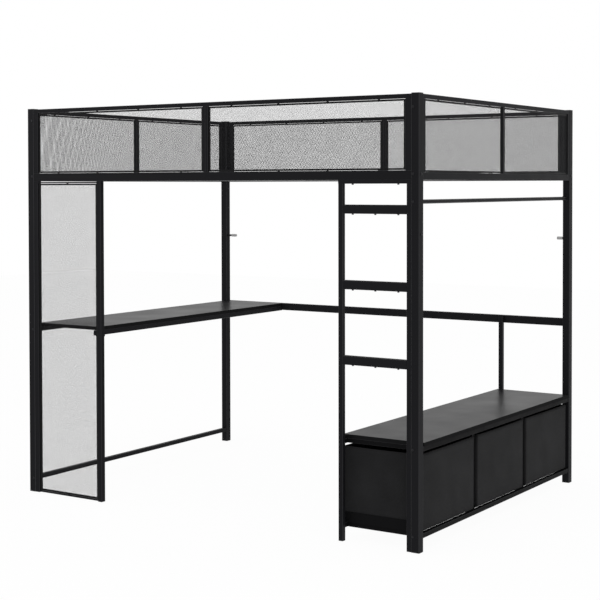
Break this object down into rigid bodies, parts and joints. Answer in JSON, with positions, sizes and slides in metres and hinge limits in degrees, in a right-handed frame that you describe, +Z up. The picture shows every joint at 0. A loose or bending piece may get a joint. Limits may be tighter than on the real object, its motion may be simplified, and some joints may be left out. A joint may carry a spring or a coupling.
{
  "type": "loft bed with desk",
  "caption": "Full-size metal loft bed with mesh guards, a desk and mesh screen under one end, and a ladder, clothes rod and storage bench with fabric bins under the other.",
  "frame": {"origin": "on the floor, under the centre of the four corner posts", "axes": "+X along the bed, from the desk end to the bench end; +Y from the front, where the ladder is, to the back; +Z up"},
  "size_m": [1.995, 1.505, 1.724],
  "materials": {
    "frame_steel": "satin black powder coat",
    "slat_steel": "satin black powder coat",
    "mesh_steel": "black powder-coated fine wire mesh",
    "shelf_steel": "satin black powder coat",
    "board_laminate": "smooth black laminate on particleboard",
    "bin_fabric": "charcoal non-woven fabric",
    "cap_plastic": "matt black moulded",
    "foot_plastic": "matt black moulded",
    "grip_rubber": "ribbed black grip strip",
    "bolt_steel": "black-oxide bolt heads",
    "peg_plastic": "pale grey moulded"
  },
  "bodies": {
    "frame": {"back_bar": "frame_steel", "bench_back_leg": "frame_steel", "bench_board": "board_laminate", "bench_cross_rails": "frame_steel", "bench_dividers": "frame_steel", "bench_low_frame": "frame_steel", "bench_shelf": "shelf_steel", "bench_shelf_lips": "shelf_steel", "bench_top_frame": "frame_steel", "bolt_heads_back": "bolt_steel", "bolt_heads_ends": "bolt_steel", "bolt_heads_front": "bolt_steel", "centre_beam": "frame_steel", "clothes_rod": "frame_steel", "desk_board": "board_laminate", "desk_cross_rails": "frame_steel", "desk_plate": "frame_steel", "desk_rails": "frame_steel", "end_rail_left": "frame_steel", "end_rail_right": "frame_steel", "footrest_bar": "frame_steel", "guard_frame_back_left": "frame_steel", "guard_frame_back_right": "frame_steel", "guard_frame_front_left": "frame_steel", "guard_frame_front_right": "frame_steel", "guard_frame_left": "frame_steel", "guard_frame_right": "frame_steel", "guard_mesh_back": "mesh_steel", "guard_mesh_front": "mesh_steel", "guard_mesh_left": "mesh_steel", "guard_mesh_right": "mesh_steel", "ladder_nuts": "bolt_steel", "ladder_rung_1": "frame_steel", "ladder_rung_2": "frame_steel", "ladder_rung_3": "frame_steel", "ladder_top_plate": "frame_steel", "ladder_uprights": "frame_steel", "leg_feet": "foot_plastic", "peg_caps": "peg_plastic", "peg_studs": "bolt_steel", "post_back_left": "frame_steel", "post_back_right": "frame_steel", "post_caps": "cap_plastic", "post_feet": "foot_plastic", "post_front_left": "frame_steel", "post_front_right": "frame_steel", "rod_flanges": "frame_steel", "rung_grips": "grip_rubber", "screen_bars": "frame_steel", "screen_mesh": "mesh_steel", "screen_uprights": "frame_steel", "side_rail_back": "frame_steel", "side_rail_front": "frame_steel", "slat_ledges": "frame_steel", "slats_back": "slat_steel", "slats_front": "slat_steel"},
    "bin_1_body": {"bin_1": "bin_fabric"},
    "bin_2_body": {"bin_2": "bin_fabric"},
    "bin_3_body": {"bin_3": "bin_fabric"}
  },
  "joints": [
    {"name": "bin_1_slide", "type": "slide", "parent": "frame", "child": "bin_1_body", "axis": [1, 0, 0], "range_m": [0, 0.3]},
    {"name": "bin_2_slide", "type": "slide", "parent": "frame", "child": "bin_2_body", "axis": [1, 0, 0], "range_m": [0, 0.3]},
    {"name": "bin_3_slide", "type": "slide", "parent": "frame", "child": "bin_3_body", "axis": [1, 0, 0], "range_m": [0, 0.3]}
  ]
}
